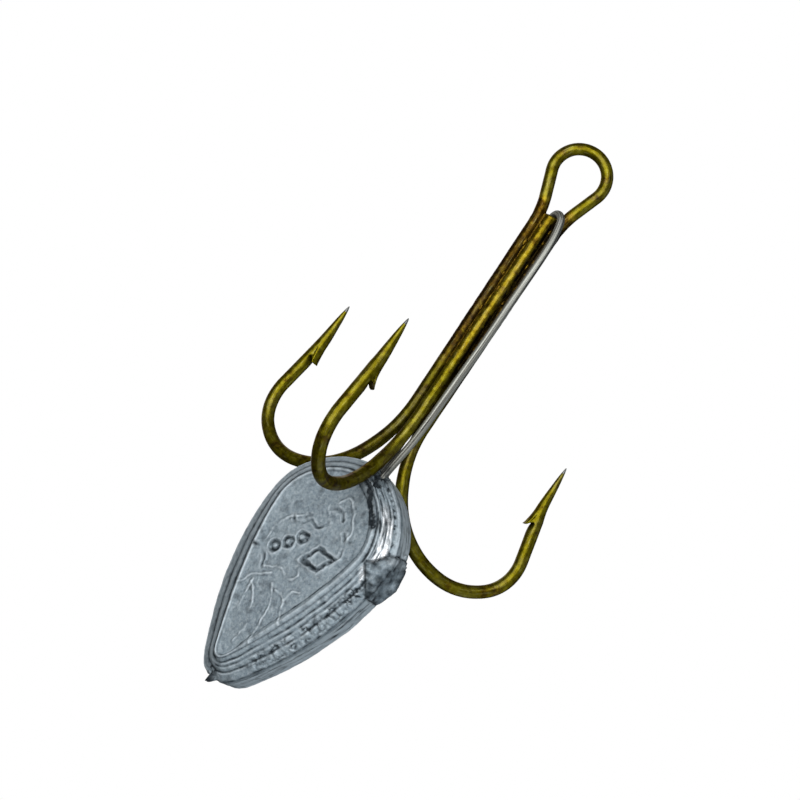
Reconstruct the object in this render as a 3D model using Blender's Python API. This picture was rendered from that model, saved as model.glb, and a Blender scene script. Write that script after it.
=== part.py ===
"""Weighted treble hook: a double hook and a single hook brazed together, with a
lead weight hung under the bends on a wire hairpin that passes over the eye's crotch.

Frame: +Z runs up the shank to the line eye, -Y is the side that the weight's front
face looks to, and the origin is the middle of the line eye. Units in the constants
are millimetres; the meshes are in metres.
"""

import math

import bmesh
import bpy
from mathutils import Vector

MM = 0.001

# Clearance kept between neighbours that touch or are joined on the real hook.
GAP = 0.04

# Hook wire
HOOK_WIRE = 1.70
HOOK_SIDES = 10
POINT_WIDTH = 0.12
SPEAR_POWER = 0.66

# Bend of every hook, from the straight shank to the point: (turn in degrees, radius)
BEND_START = -38.5
BEND_ARCS = ((34.0, 17.0), (52.0, 13.7), (44.0, 9.5), (63.5, 6.1))
THROAT_STRAIGHT = 7.7
SPEAR_LENGTH = 6.6
SPEAR_TURN = -11.3
ARC_STEP = 7.0

# Each hook: azimuth of its bend, rise of its bend, inward lean, barb's tip to point,
# length of the spear's taper, turn of the barb round the wire; in degrees and mm
HOOK_LEFT = (173.4, 0.7, -0.6, 9.25, 7.0, 0.0)
HOOK_RIGHT = (49.1, -1.9, 0.2, 9.25, 8.4, 0.0)
HOOK_FRONT = (-79.5, 0.0, 0.4, 9.8, 7.2, 45.0)

# Barbs
BARB_ROOT_LENGTH = 2.0
BARB_STAND = 0.75
BARB_WIDTH = 0.8

# Line eye and the two legs, in a plane turned about Z
EYE_AZIMUTH = 28.5
EYE_RADIUS = 3.8
EYE_FLANK = 19.5
CROTCH_RADIUS = 13.1
LEG_HALF_TOP = 1.62
LEG_HALF_BOTTOM = 1.43

# Shank of the single hook, ahead of the legs
SINGLE_TOP = -7.0
SINGLE_AHEAD_TOP = 0.70
SINGLE_AHEAD_BOTTOM = 0.99

# Braze in the two front grooves
BRAZE_TOP = -7.4
BRAZE_BOTTOM = -31.5
BRAZE_STEPS = 12
BRAZE_SECTION = 5

# Hairpin wire
HAIRPIN_WIRE = 1.08
HAIRPIN_SIDES = 8

# Lead weight: outlines at four depths, front to back, as
# (y, half width, rise of the round end, length of the taper, power of the taper, half width of the tip)
LEAD_CENTRE = (-0.55, -58.7)
LEAD_TILT = 5.8
LEAD_SECTIONS = (
    (-4.2, 8.4, 8.2, 22.2, 1.5, 0.7),
    (-2.0, 11.4, 10.4, 24.9, 2.0, 2.1),
    (1.4, 11.2, 10.2, 24.7, 2.0, 2.1),
    (4.3, 9.1, 8.2, 22.6, 2.0, 2.1),
)
LEAD_ROUND_POWER = 1.8
LEAD_ROUND_STEPS = 18
LEAD_TAPER_STEPS = 9

# Broken sprue on the weight's right edge and nub of flash at its tip: corners standing
# out of the casting, and corners buried in it
SPRUE_CORNERS = (
    (7.8, -3.9, -59.6), (10.5, 0.2, -55.8), (11.4, 0.8, -57.9), (11.8, 0.8, -60.7),
    (10.6, 0.8, -63.1), (10.1, 0.8, -64.3), (9.9, -2.3, -62.8),
    (7.0, 1.0, -57.0), (7.0, 1.0, -63.0), (6.0, -2.0, -60.0),
)
NUB_CORNERS = (
    (-4.4, -2.0, -84.8), (-3.7, -2.3, -83.5), (-2.7, -2.5, -84.2), (-3.6, -1.5, -84.3),
    (-2.4, -2.2, -82.0), (-1.6, -1.4, -82.6),
)


def remove_all_objects():
    for old in list(bpy.data.objects):
        bpy.data.objects.remove(old, do_unlink=True)


def material(name, colour, roughness, metallic):
    mat = bpy.data.materials.new(name)
    mat.use_nodes = True
    shader = mat.node_tree.nodes["Principled BSDF"]
    shader.inputs["Base Color"].default_value = (*colour, 1.0)
    shader.inputs["Roughness"].default_value = roughness
    shader.inputs["Metallic"].default_value = metallic
    return mat


def mesh_object(name, bm, mat=None, sharp_angle=40.0):
    """Turn a bmesh into a named object, in metres, smooth except at sharp edges."""
    bmesh.ops.recalc_face_normals(bm, faces=bm.faces)
    bmesh.ops.scale(bm, vec=(MM, MM, MM), verts=bm.verts)
    mesh = bpy.data.meshes.new(name)
    bm.to_mesh(mesh)
    bm.free()
    mesh.shade_smooth()
    mesh.set_sharp_from_angle(angle=math.radians(sharp_angle))
    obj = bpy.data.objects.new(name, mesh)
    bpy.context.collection.objects.link(obj)
    if mat:
        mesh.materials.append(mat)
    return obj


def sweep(points, radii, sides):
    """A closed tube along points, with one radius for each point."""
    bm = bmesh.new()
    tangent = (points[1] - points[0]).normalized()
    normal = tangent.orthogonal().normalized()
    rings = []
    for index, point in enumerate(points):
        ahead = points[min(index + 1, len(points) - 1)]
        behind = points[max(index - 1, 0)]
        new_tangent = (ahead - behind).normalized()
        normal = tangent.rotation_difference(new_tangent) @ normal
        tangent = new_tangent
        binormal = tangent.cross(normal)
        ring = []
        for side in range(sides):
            angle = math.tau * side / sides
            offset = normal * math.cos(angle) + binormal * math.sin(angle)
            ring.append(bm.verts.new(point + offset * radii[index]))
        rings.append(ring)
    for lower, upper in zip(rings, rings[1:]):
        for side in range(sides):
            after = (side + 1) % sides
            bm.faces.new((lower[side], lower[after], upper[after], upper[side]))
    bm.faces.new(rings[0])
    bm.faces.new(rings[-1])
    return bm


def bend_profile():
    """Hook outline as (reach from the shank, height) pairs, from the shank to the point."""
    reach, height, heading = 0.0, BEND_START, 0.0
    profile = [(reach, height)]
    for turn, radius in BEND_ARCS:
        steps = math.ceil(turn / ARC_STEP)
        step = math.radians(turn) / steps
        chord = 2 * radius * math.sin(step / 2)
        for _ in range(steps):
            reach += chord * math.sin(heading + step / 2)
            height -= chord * math.cos(heading + step / 2)
            heading += step
            profile.append((reach, height))
    for length, turn, steps in ((THROAT_STRAIGHT, 0.0, 3), (SPEAR_LENGTH, SPEAR_TURN, 5)):
        heading += math.radians(turn)
        for _ in range(steps):
            reach += length / steps * math.sin(heading)
            height -= length / steps * math.cos(heading)
            profile.append((reach, height))
    return profile


def hook_points(shank_foot, hook):
    """The bend in space. shank_foot is the (x, y) place where the shank's straight part ends."""
    azimuth, rise, lean = hook[:3]
    tilt = math.radians(lean)
    outward = Vector((math.cos(math.radians(azimuth)), math.sin(math.radians(azimuth)), 0))
    points = []
    for reach, height in bend_profile():
        below = height - BEND_START
        leaning_reach = reach * math.cos(tilt) + below * math.sin(tilt)
        leaning_height = below * math.cos(tilt) - reach * math.sin(tilt)
        level = BEND_START + rise + leaning_height
        points.append(Vector((*shank_foot, level)) + outward * leaning_reach)
    return points


def wire_radii(points, start_hook, end_hook):
    """Wire radius at each point, tapered towards each end that is a hook's point."""
    lengths = [(b - a).length for a, b in zip(points, points[1:])]
    total = sum(lengths)
    travelled = 0.0
    radii = []
    for index in range(len(points)):
        share = 1.0
        if start_hook:
            share = min(share, travelled / start_hook[4])
        if end_hook:
            share = min(share, (total - travelled) / end_hook[4])
        width = POINT_WIDTH + (HOOK_WIRE - POINT_WIDTH) * max(share, 0.0) ** SPEAR_POWER
        radii.append(width / 2)
        if index < len(lengths):
            travelled += lengths[index]
    return radii


def eye_plane(across, height, ahead=0.0):
    """A point given across the eye's plane, up the shank, and ahead of that plane."""
    angle = math.radians(EYE_AZIMUTH)
    side = Vector((math.cos(angle), math.sin(angle), 0))
    front = Vector((math.sin(angle), -math.cos(angle), 0))
    return side * across + front * ahead + Vector((0, 0, height))


def half_eye():
    """Right half of the eye and its leg, from the top of the eye down, as (across, height)."""
    flank = math.radians(EYE_FLANK)
    half = []
    steps = 12
    for step in range(steps + 1):
        angle = math.pi / 2 - (math.pi / 2 + flank) * step / steps
        half.append((EYE_RADIUS * math.cos(angle), EYE_RADIUS * math.sin(angle)))
    line_end = LEG_HALF_TOP + CROTCH_RADIUS * (1 - math.cos(flank))
    drop = (half[-1][0] - line_end) / math.tan(flank)
    arc_top = half[-1][1] - drop
    half.append(((half[-1][0] + line_end) / 2, half[-1][1] - drop / 2))
    for step in range(5):
        angle = flank * (1 - step / 4)
        across = LEG_HALF_TOP + CROTCH_RADIUS * (1 - math.cos(angle))
        height = arc_top - CROTCH_RADIUS * (math.sin(flank) - math.sin(angle))
        half.append((across, height))
    return half


def leg_half(height):
    """Distance of a leg from the shank's axis at a height below the crotch."""
    top = half_eye()[-1][1]
    share = (height - top) / (BEND_START - top)
    return LEG_HALF_TOP + (LEG_HALF_BOTTOM - LEG_HALF_TOP) * share


def single_ahead(height):
    """How far the single hook's shank lies ahead of the eye's plane at a height."""
    share = (height - SINGLE_TOP) / (BEND_START - SINGLE_TOP)
    return SINGLE_AHEAD_TOP + (SINGLE_AHEAD_BOTTOM - SINGLE_AHEAD_TOP) * share


def leg_points(sign, hook):
    """Straight leg between the crotch and the start of its bend, from the top down."""
    top = half_eye()[-1][1]
    bottom = BEND_START + hook[1]
    steps = 6
    points = []
    for step in range(1, steps):
        height = top + (bottom - top) * step / steps
        points.append(eye_plane(sign * leg_half(height), height))
    return points


def barb(tip_points, hook):
    """Barb sliver on the shank side of a hook's spear. tip_points end at the hook point."""
    from_point = hook[3]
    travelled = 0.0
    previous = tip_points[-1]
    for point in reversed(tip_points[:-1]):
        step = (point - previous).length
        if travelled + step >= from_point:
            base = previous.lerp(point, (from_point - travelled) / step)
            along = (point - previous).normalized()
            break
        travelled += step
        previous = point
    inward = Vector((-base.x, -base.y, 0)).normalized()
    inward = (inward - along * inward.dot(along)).normalized()
    turn = math.radians(hook[5])
    inward = inward * math.cos(turn) + along.cross(inward) * math.sin(turn)
    across = along.cross(inward)
    root = base - along * BARB_ROOT_LENGTH
    surface = HOOK_WIRE / 2
    bm = bmesh.new()
    corners = (
        root - across * 0.15 + inward * 0.35 * surface,
        root + across * 0.15 + inward * 0.35 * surface,
        base - along * 0.5 + across * BARB_WIDTH / 2 + inward * 0.3 * surface,
        base - along * 0.5 - across * BARB_WIDTH / 2 + inward * 0.3 * surface,
        base - along * 0.9 + inward * 1.05 * surface,
        base + inward * (surface + BARB_STAND),
    )
    for corner in corners:
        bm.verts.new(corner)
    bmesh.ops.convex_hull(bm, input=bm.verts)
    return bm


def unite(target, tool, name):
    """Join a tool object to a target by a Boolean union. The tool stays as a hidden guide."""
    tool.hide_render = True
    tool.display_type = "WIRE"
    modifier = target.modifiers.new(name, "BOOLEAN")
    modifier.operation = "UNION"
    modifier.solver = "EXACT"
    modifier.object = tool


def cut(target, tool, name):
    """Cut a tool object out of a target. The tool stays as a hidden guide."""
    tool.hide_render = True
    tool.display_type = "WIRE"
    modifier = target.modifiers.new(name, "BOOLEAN")
    modifier.operation = "DIFFERENCE"
    modifier.solver = "EXACT"
    modifier.object = tool


def double_hook_points():
    """Point of the left hook, its bend, its leg, round the eye, and the same to the right."""
    half = half_eye()
    foot_left = eye_plane(-LEG_HALF_BOTTOM, 0).xy
    foot_right = eye_plane(LEG_HALF_BOTTOM, 0).xy
    left_down = [eye_plane(-across, height) for across, height in half]
    left_down += leg_points(-1, HOOK_LEFT) + hook_points(foot_left, HOOK_LEFT)
    right_down = [eye_plane(across, height) for across, height in half[1:]]
    right_down += leg_points(1, HOOK_RIGHT) + hook_points(foot_right, HOOK_RIGHT)
    return left_down[::-1] + right_down


def single_hook_points():
    steps = 6
    points = []
    for step in range(steps):
        height = SINGLE_TOP + (BEND_START - SINGLE_TOP) * step / steps
        points.append(eye_plane(0, height, single_ahead(height)))
    foot = eye_plane(0, 0, SINGLE_AHEAD_BOTTOM).xy
    return points + hook_points(foot, HOOK_FRONT)


def hairpin_points():
    """Route of the hairpin: up the front groove, over the crotch, down behind the legs."""
    route = (
        (1.35, -2.35, -57.0),
        (1.85, -2.35, -52.0),
        (1.98, -2.04, -48.9),
        (1.74, -1.42, -47.5),
        (1.66, -0.75, -45.2),
        (1.78, -0.50, -43.2),
        (2.04, -0.52, -39.8),
        (2.19, -0.42, -33.1),
        (2.34, -0.31, -26.3),
        (2.38, -0.29, -19.6),
        (2.44, -0.24, -12.8),
        (2.35, -0.36, -9.5),
        (1.99, -0.57, -7.1),
        (1.44, -0.53, -6.35),
        (0.75, -0.22, -6.12),
        (0.10, 0.22, -6.22),
        (-0.42, 0.60, -6.95),
        (-0.48, 0.63, -8.2),
        (-0.48, 0.62, -14.0),
        (-0.48, 0.62, -25.0),
        (-0.48, 0.60, -36.0),
        (-0.39, 0.49, -40.0),
        (0.10, -0.23, -44.0),
        (0.60, -1.16, -47.5),
        (0.85, -1.75, -49.0),
        (0.72, -2.10, -52.0),
        (0.20, -2.10, -57.0),
    )
    return smooth_route([Vector(point) for point in route], 4)


def smooth_route(route, steps):
    """A Catmull-Rom curve through the route's points, sampled evenly between them."""
    ends = [route[0] * 2 - route[1], *route, route[-1] * 2 - route[-2]]
    points = []
    for index in range(1, len(ends) - 2):
        before, start, end, after = ends[index - 1:index + 3]
        for step in range(steps):
            t = step / steps
            points.append(0.5 * (2 * start + (end - before) * t
                                 + (2 * before - 5 * start + 4 * end - after) * t * t
                                 + (3 * start - before - 3 * end + after) * t * t * t))
    points.append(ends[-2])
    return points


def braze_section(leg, single, side):
    """Fillet section between a leg and the single shank, as points in the XY plane."""
    clear = HOOK_WIRE / 2 + GAP
    between = single - leg
    middle = (leg + single) / 2
    out = Vector((between.y, -between.x)).normalized() * side
    from_leg = math.atan2(between.y, between.x)
    from_single = from_leg + math.pi
    turn = math.radians(62)
    near = math.radians(14)
    leg_turn = 1 if Vector((-between.y, between.x)).dot(out) > 0 else -1
    section = []
    for step in range(BRAZE_SECTION):
        angle = from_leg + leg_turn * (near + (turn - near) * step / (BRAZE_SECTION - 1))
        section.append(leg + Vector((math.cos(angle), math.sin(angle))) * clear)
    section.append(middle + out * HOOK_WIRE * 0.40)
    for step in reversed(range(BRAZE_SECTION)):
        angle = from_single - leg_turn * (near + (turn - near) * step / (BRAZE_SECTION - 1))
        section.append(single + Vector((math.cos(angle), math.sin(angle))) * clear)
    return section


def braze(name, side, mat):
    """Brazing metal along one front groove, between a leg and the single shank."""
    bm = bmesh.new()
    rings = []
    for step in range(BRAZE_STEPS + 1):
        height = BRAZE_TOP + (BRAZE_BOTTOM - BRAZE_TOP) * step / BRAZE_STEPS
        leg = eye_plane(side * leg_half(min(height, half_eye()[-1][1])), 0).xy
        single = eye_plane(0, 0, single_ahead(height)).xy
        section = braze_section(leg, single, side)
        rings.append([bm.verts.new((*point, height)) for point in section])
    for upper, lower in zip(rings, rings[1:]):
        for index in range(len(upper)):
            after = (index + 1) % len(upper)
            bm.faces.new((upper[index], upper[after], lower[after], lower[index]))
    bm.faces.new(rings[0])
    bm.faces.new(rings[-1])
    return mesh_object(name, bm, mat)


def lead_outline(half_width, rise, taper, power, tip):
    """Teardrop outline: a round end above, sides drawn in to a blunt tip below."""
    outline = []
    for step in range(LEAD_ROUND_STEPS + 1):
        angle = math.pi * step / LEAD_ROUND_STEPS
        across = math.copysign(abs(math.cos(angle)) ** (2 / LEAD_ROUND_POWER), math.cos(angle))
        up = math.sin(angle) ** (2 / LEAD_ROUND_POWER)
        outline.append((half_width * across, rise * up))
    left = []
    for step in range(1, LEAD_TAPER_STEPS + 1):
        share = step / LEAD_TAPER_STEPS
        width = tip + (half_width - tip) * (1 - share ** power)
        left.append((-width, -taper * share))
    right = [(-across, height) for across, height in reversed(left)]
    return outline + left + right


def lead_place(across, depth, up):
    """Weight's own across and up axes, turned about Y, to the hook's frame."""
    tilt = math.radians(LEAD_TILT)
    x = LEAD_CENTRE[0] + across * math.cos(tilt) + up * math.sin(tilt)
    z = LEAD_CENTRE[1] - across * math.sin(tilt) + up * math.cos(tilt)
    return Vector((x, depth, z))


def lead_body():
    bm = bmesh.new()
    rings = []
    for depth, *shape in LEAD_SECTIONS:
        outline = lead_outline(*shape)
        rings.append([bm.verts.new(lead_place(across, depth, up)) for across, up in outline])
    for front, back in zip(rings, rings[1:]):
        for index in range(len(front)):
            after = (index + 1) % len(front)
            bm.faces.new((front[index], front[after], back[after], back[index]))
    bm.faces.new(rings[0])
    bm.faces.new(rings[-1])
    return bm


def rough_lump(corners):
    """Convex lump through its corners."""
    bm = bmesh.new()
    for corner in corners:
        bm.verts.new(corner)
    bmesh.ops.convex_hull(bm, input=bm.verts)
    return bm


def main():
    remove_all_objects()
    bronze = material("bronze_wire", (0.30, 0.25, 0.04), 0.35, 1.0)
    copper = material("braze", (0.28, 0.14, 0.04), 0.50, 1.0)
    steel = material("hairpin_steel", (0.55, 0.55, 0.53), 0.35, 1.0)
    lead = material("cast_lead", (0.35, 0.38, 0.41), 0.55, 0.9)

    points = double_hook_points()
    double_hook = mesh_object(
        "double_hook_wire", sweep(points, wire_radii(points, HOOK_LEFT, HOOK_RIGHT), HOOK_SIDES), bronze)
    middle = len(points) // 2
    unite(double_hook, mesh_object("barb_tool_left", barb(points[:middle][::-1], HOOK_LEFT)), "left barb")
    unite(double_hook, mesh_object("barb_tool_right", barb(points[middle:], HOOK_RIGHT)), "right barb")

    points = single_hook_points()
    single_hook = mesh_object(
        "single_hook_wire", sweep(points, wire_radii(points, None, HOOK_FRONT), HOOK_SIDES), bronze)
    unite(single_hook, mesh_object("barb_tool_front", barb(points, HOOK_FRONT)), "front barb")

    braze("braze_fillet_left", -1, copper)
    braze("braze_fillet_right", 1, copper)

    points = hairpin_points()
    radii = [HAIRPIN_WIRE / 2] * len(points)
    mesh_object("hairpin_wire", sweep(points, radii, HAIRPIN_SIDES), steel)

    weight = mesh_object("lead_weight", lead_body(), lead)
    unite(weight, mesh_object("sprue_tool", rough_lump(SPRUE_CORNERS)), "broken sprue")
    unite(weight, mesh_object("nub_tool", rough_lump(NUB_CORNERS)), "tip nub")
    radii = [HAIRPIN_WIRE / 2 + GAP] * len(points)
    socket = mesh_object("socket_tool", sweep(points, radii, HAIRPIN_SIDES))
    cut(weight, socket, "hairpin sockets")
    for name, side, hook in (("left", -1, HOOK_LEFT), ("right", 1, HOOK_RIGHT)):
        points = hook_points(eye_plane(side * LEG_HALF_BOTTOM, 0).xy, hook)
        radii = [HOOK_WIRE / 2 + GAP] * len(points)
        saddle = mesh_object("saddle_tool_" + name, sweep(points, radii, HOOK_SIDES))
        cut(weight, saddle, name + " saddle")


main()
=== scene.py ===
"""Weighted treble hook: the visible pieces, materials, light and camera round the CAD frame.

Lengths in the constants are millimetres, in the CAD frame: +Z up the shank to the line
eye at the origin, -Y the side of the weight's flat face. Meshes are made in metres.
"""

import math
from collections import namedtuple

import bpy
import bmesh
import numpy as np
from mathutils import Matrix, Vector, kdtree, noise


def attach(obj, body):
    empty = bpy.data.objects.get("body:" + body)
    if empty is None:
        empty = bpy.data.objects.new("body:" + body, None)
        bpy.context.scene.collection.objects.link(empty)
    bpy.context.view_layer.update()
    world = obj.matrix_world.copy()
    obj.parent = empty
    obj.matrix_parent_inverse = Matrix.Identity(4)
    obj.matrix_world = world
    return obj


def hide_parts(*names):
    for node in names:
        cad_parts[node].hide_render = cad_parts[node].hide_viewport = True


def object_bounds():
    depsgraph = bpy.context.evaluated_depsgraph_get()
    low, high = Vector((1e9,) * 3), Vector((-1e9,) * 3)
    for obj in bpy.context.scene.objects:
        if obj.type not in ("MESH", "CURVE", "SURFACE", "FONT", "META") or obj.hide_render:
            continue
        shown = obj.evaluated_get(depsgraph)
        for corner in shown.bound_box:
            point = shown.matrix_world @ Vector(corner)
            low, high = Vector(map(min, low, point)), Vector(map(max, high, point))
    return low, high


MM = 0.001

# Hook wire and its bends, as in the CAD
HOOK_WIRE = 1.70
FORGED_GROWTH = 0.08        # how much thicker the forged bends and spears look than the shank
POINT_WIDTH = 0.07
BEND_START = -38.5
BEND_ARCS = ((34.0, 17.0), (52.0, 13.7), (44.0, 9.5), (63.5, 6.1))
THROAT_STRAIGHT = 7.7
SPEAR_LENGTH = 6.6
SPEAR_TURN = -11.3
SPEAR_TURN_LENGTH = 2.4
SPEAR_POWER = 0.66
# lean is inward, barb is from its tip to the point, turn is the barb's turn round the wire
Hook = namedtuple("Hook", "azimuth rise lean barb taper turn")
HOOK_LEFT = Hook(173.4, 0.7, -0.6, 9.25, 7.0, 0.0)
HOOK_RIGHT = Hook(49.1, -1.9, 0.2, 9.25, 8.4, 0.0)
HOOK_FRONT = Hook(-79.5, 0.0, 0.4, 9.8, 7.2, 45.0)
BEND_LENGTH = 58.0          # more than any bend with its spear
SPEAR_ZONE = 25.0           # this close to a point the wire follows the spear's taper

# Line eye, legs and the single hook's shank, as in the CAD
EYE_AZIMUTH = 28.5
EYE_RADIUS = 3.8
EYE_FLANK = 19.5
CROTCH_RADIUS = 13.1
LEG_HALF_TOP = 1.62
LEG_HALF_BOTTOM = 1.43
SINGLE_TOP = -7.0
SINGLE_AHEAD_TOP = 0.70
SINGLE_AHEAD_BOTTOM = 0.99

# Section through a barb at its middle: (distance past the barb towards the bend, height
# over the wire): up the raised sliver, round its tip, under it and out along the scoop
BARB_CUT = (
    (-3.2, 0.0), (-2.2, 0.08), (-1.4, 0.26), (-0.8, 0.48), (-0.35, 0.68), (0.0, 0.88),
    (0.0, 0.80), (-0.32, 0.44), (-0.66, 0.12), (-0.92, -0.16), (-0.78, -0.27),
    (-0.4, -0.22), (0.2, -0.07), (0.9, 0.0),
)
BARB_TIP = 5
BARB_BEFORE = 3.2
BARB_AFTER = 0.9
BARB_RINGS = 64
BARB_HALF_ANGLE = 34.0
BARB_FADE_ANGLE = 66.0

# Braze between the legs and the single shank
BRAZE_TOP = -6.9
BRAZE_BOTTOM = -31.5
BRAZE_RINGS = 170
BRAZE_SIDES = 22
# Drops on the wires and on the shank's cut end: (across, height, ahead), half sizes
BRAZE_DROPS = (
    ((0.86, -6.9, 0.20), (0.34, 0.34, 0.60)),
    ((-0.55, -8.9, 1.30), (0.30, 0.30, 0.42)),
    ((0.95, -8.9, 0.70), (0.24, 0.24, 0.38)),
    ((1.0, -10.6, 0.74), (0.20, 0.20, 0.34)),
    ((-1.15, -11.8, 0.82), (0.24, 0.24, 0.55)),
    ((0.98, -14.6, 0.78), (0.18, 0.18, 0.45)),
    ((-1.2, -17.0, 0.80), (0.20, 0.20, 0.42)),
    ((-0.62, -19.2, 1.28), (0.24, 0.24, 0.60)),
    ((-1.15, -22.6, 0.84), (0.18, 0.18, 0.50)),
    ((1.0, -20.5, 0.80), (0.18, 0.18, 0.35)),
    ((-0.64, -26.0, 1.26), (0.22, 0.22, 0.50)),
)

# Hairpin, and where its two legs go into the lead
HAIRPIN_WIRE = 1.08
HAIRPIN_SIDES = 40
HAIRPIN_ENTRIES = ((1.9, -2.3, -49.6), (0.9, -2.0, -49.6))

# Lead weight, as in the CAD: (y, half width, rise, taper length, taper power, tip half width)
LEAD_CENTRE = (-0.55, -58.7)
LEAD_TILT = 5.8
LEAD_FACE = (-4.2, 8.4, 8.2, 22.2, 1.5, 0.7)
LEAD_PARTING = (-2.0, 11.4, 10.4, 24.9, 2.0, 2.1)
LEAD_WALL = (1.4, 11.2, 10.2, 24.7, 2.0, 2.1)
LEAD_BACK = (4.3, 9.1, 8.2, 22.6, 2.0, 2.1)
LEAD_ROUND_POWER = 1.8
LEAD_SPINE = 0.8            # the faces' rings shrink to a spine of this share of the outline
LEAD_SPINE_LOW = -17.0
LEAD_FACE_RINGS = 64
LEAD_BACK_RINGS = 36
LEAD_BANDS = ((0, 30), (1, 26), (2, 18))
SEAT_GAP = 0.05
SPRUE_CORNERS = (
    (7.8, -3.9, -59.6), (10.5, 0.2, -55.8), (11.4, 0.8, -57.9), (11.8, 0.8, -60.7),
    (10.6, 0.8, -63.1), (10.1, 0.8, -64.3), (9.9, -2.3, -62.8),
    (7.0, 1.0, -57.0), (7.0, 1.0, -63.0), (6.0, -2.0, -60.0),
)
NUB_CORNERS = (
    (-4.8, -2.1, -84.6), (-3.7, -2.3, -83.5), (-2.7, -2.5, -84.2), (-3.6, -1.5, -84.3),
    (-2.4, -2.2, -82.0), (-1.6, -1.4, -82.6),
)

# Relief on the weight's front face, as lines in its own axes (across, up)
VEINS = (
    ((-4.8, -13.0), (-3.7, -10.9), (-1.6, -9.2)),
    ((-3.2, -11.4), (-3.0, -12.9), (-2.3, -15.3)),
    ((-3.2, -11.7), (-1.8, -12.8), (-0.4, -15.1), (0.4, -16.8), (0.4, -19.3)),
    ((-0.5, -10.0), (1.0, -12.0), (1.8, -14.0), (2.3, -17.4), (3.2, -19.4)),
    ((0.7, -10.6), (2.4, -10.7), (3.5, -12.6), (4.8, -14.0)),
    ((2.7, -10.9), (2.9, -9.4), (3.9, -8.9)),
    ((-0.7, -7.8), (0.5, -8.3), (1.6, -8.1), (2.0, -7.2), (1.5, -6.3)),
    ((0.1, 3.5), (0.9, 5.0), (2.7, 3.9), (4.4, 1.6), (4.6, -1.0)),
    ((-5.6, -6.4), (-5.9, -4.4), (-5.0, -2.2), (-3.2, -0.6)),
    ((-3.3, -9.3), (-1.7, -8.3), (-0.7, -7.8)),
)
CREASES = (
    ((-8.0, -9.9), (-6.9, -7.7), (-4.6, -7.9), (-3.4, -9.4)),
    ((-4.4, -1.6), (-3.1, -1.9), (-1.9, -0.6), (-0.3, -0.7), (0.5, 0.6)),
    ((3.6, 0.9), (4.6, -0.2), (5.2, -2.2), (4.8, -3.6)),
    ((-0.4, 2.4), (1.2, 2.9), (2.2, 2.1)),
)
# Dark sunk strip beside the rim's upper right, and the pale ridge with a painted highlight on its other
# side
DARK_STRIP_LINE = ((0.4, 8.8), (2.6, 7.4), (4.2, 5.9), (5.5, 4.8), (6.3, 3.9))
# Generic raised mark: a lozenge with three pips beside it, centre and size
MARK_LOZENGE = ((2.9, -3.9), 2.3, 1.5, 35.0)
MARK_PIPS = ((-1.2, -3.0), (-2.5, -4.6), (-3.8, -6.2))
PIP_RADIUS = 0.62

# Tool marks on the slope: (place, depth, width) low on the right, (place, depth) on the left
TERRACES = ((0.21, 1.0, 0.030), (0.38, 0.8, 0.028), (0.60, 1.0, 0.035), (0.98, 1.0, 0.035))
FINE_LINES = ((0.12, 1.0), (0.34, -0.7), (0.56, 0.8), (0.74, -0.4), (0.95, -1.0))

# Edges of the broken sprue on the slope and wall: (place from rim to back, up)
SPRUE_TOP_EDGE = ((0.10, -0.1), (0.38, 0.5), (0.55, 1.4), (0.78, 2.4), (1.17, 2.9), (2.0, 2.9))
SPRUE_LOW_EDGE = ((0.10, -0.2), (0.58, -2.1), (0.92, -3.6), (1.29, -3.8), (2.0, -3.6))
WALL_SLIT = ((11.2, -0.2, -4.3), (10.9, -0.3, -5.7))
ENTRY_HOLE = (2.5, -3.4, 8.5)

# Camera: direction in degrees, where it aims, how far off it stands, its lens
CAMERA_AZIMUTH = 34.0
CAMERA_ELEVATION = -5.53
CAMERA_ROLL = 33.8
CAMERA_AIM = (-3.75, -0.40, -38.83)
CAMERA_DISTANCE = 275.9
CAMERA_LENS = 91.97

# Lights: name, way along the camera's right, up and back, distance and sizes in metres,
# watts, colour. The world lights the hook only a little.
DAYLIGHT = (0.86, 0.94, 1.0)
LIGHTS = (
    ("key_light", (-0.14, 0.42, 1.0), 0.50, (0.60, 0.60), 3.6, (1.0, 1.0, 1.0)),
    ("low_light", (0.30, -1.0, 0.30), 0.45, (0.90, 0.50), 0.80, DAYLIGHT),
    ("side_light", (1.0, -0.15, 0.35), 0.45, (0.70, 0.90), 0.55, DAYLIGHT),
    ("back_light", (-0.30, 0.40, -1.0), 0.50, (0.60, 0.60), 1.0, (1.0, 1.0, 1.0)),
)
WORLD_LIGHTING = 0.045

# Floor, in metres
FLOOR_RADIUS = 0.40
FLOOR_DROP = 0.20


# ---------------- small tools

def smoothstep(low, high, value):
    share = np.clip((value - low) / (high - low), 0.0, 1.0)
    return share * share * (3 - 2 * share)


def noise_at(points, scale, seed=0.0, octaves=3):
    """Fractal noise, about -1 to 1, at each point, with features scale mm across."""
    shift = Vector((seed, seed * 1.7, -seed * 0.6))
    return np.array([
        noise.fractal(Vector(point) / scale + shift, 1.0, 2.0, octaves, noise_basis="PERLIN_ORIGINAL")
        for point in points
    ])


def cells_at(points, scale, seed=0.0):
    """Distance to the nearest cell centre, 0 to about 1, for broken or hammered surfaces."""
    shift = Vector((seed, -seed, seed * 0.5))
    return np.array([noise.voronoi(Vector(point) / scale + shift)[0][0] for point in points])


def borders_at(points, scale, seed=0.0):
    """Distance to the nearest border between cells, about 0 to 1, for chiselled surfaces."""
    shift = Vector((seed, -seed, seed * 0.5))
    found = [noise.voronoi(Vector(point) / scale + shift)[0] for point in points]
    return np.array([distances[1] - distances[0] for distances in found])


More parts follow.
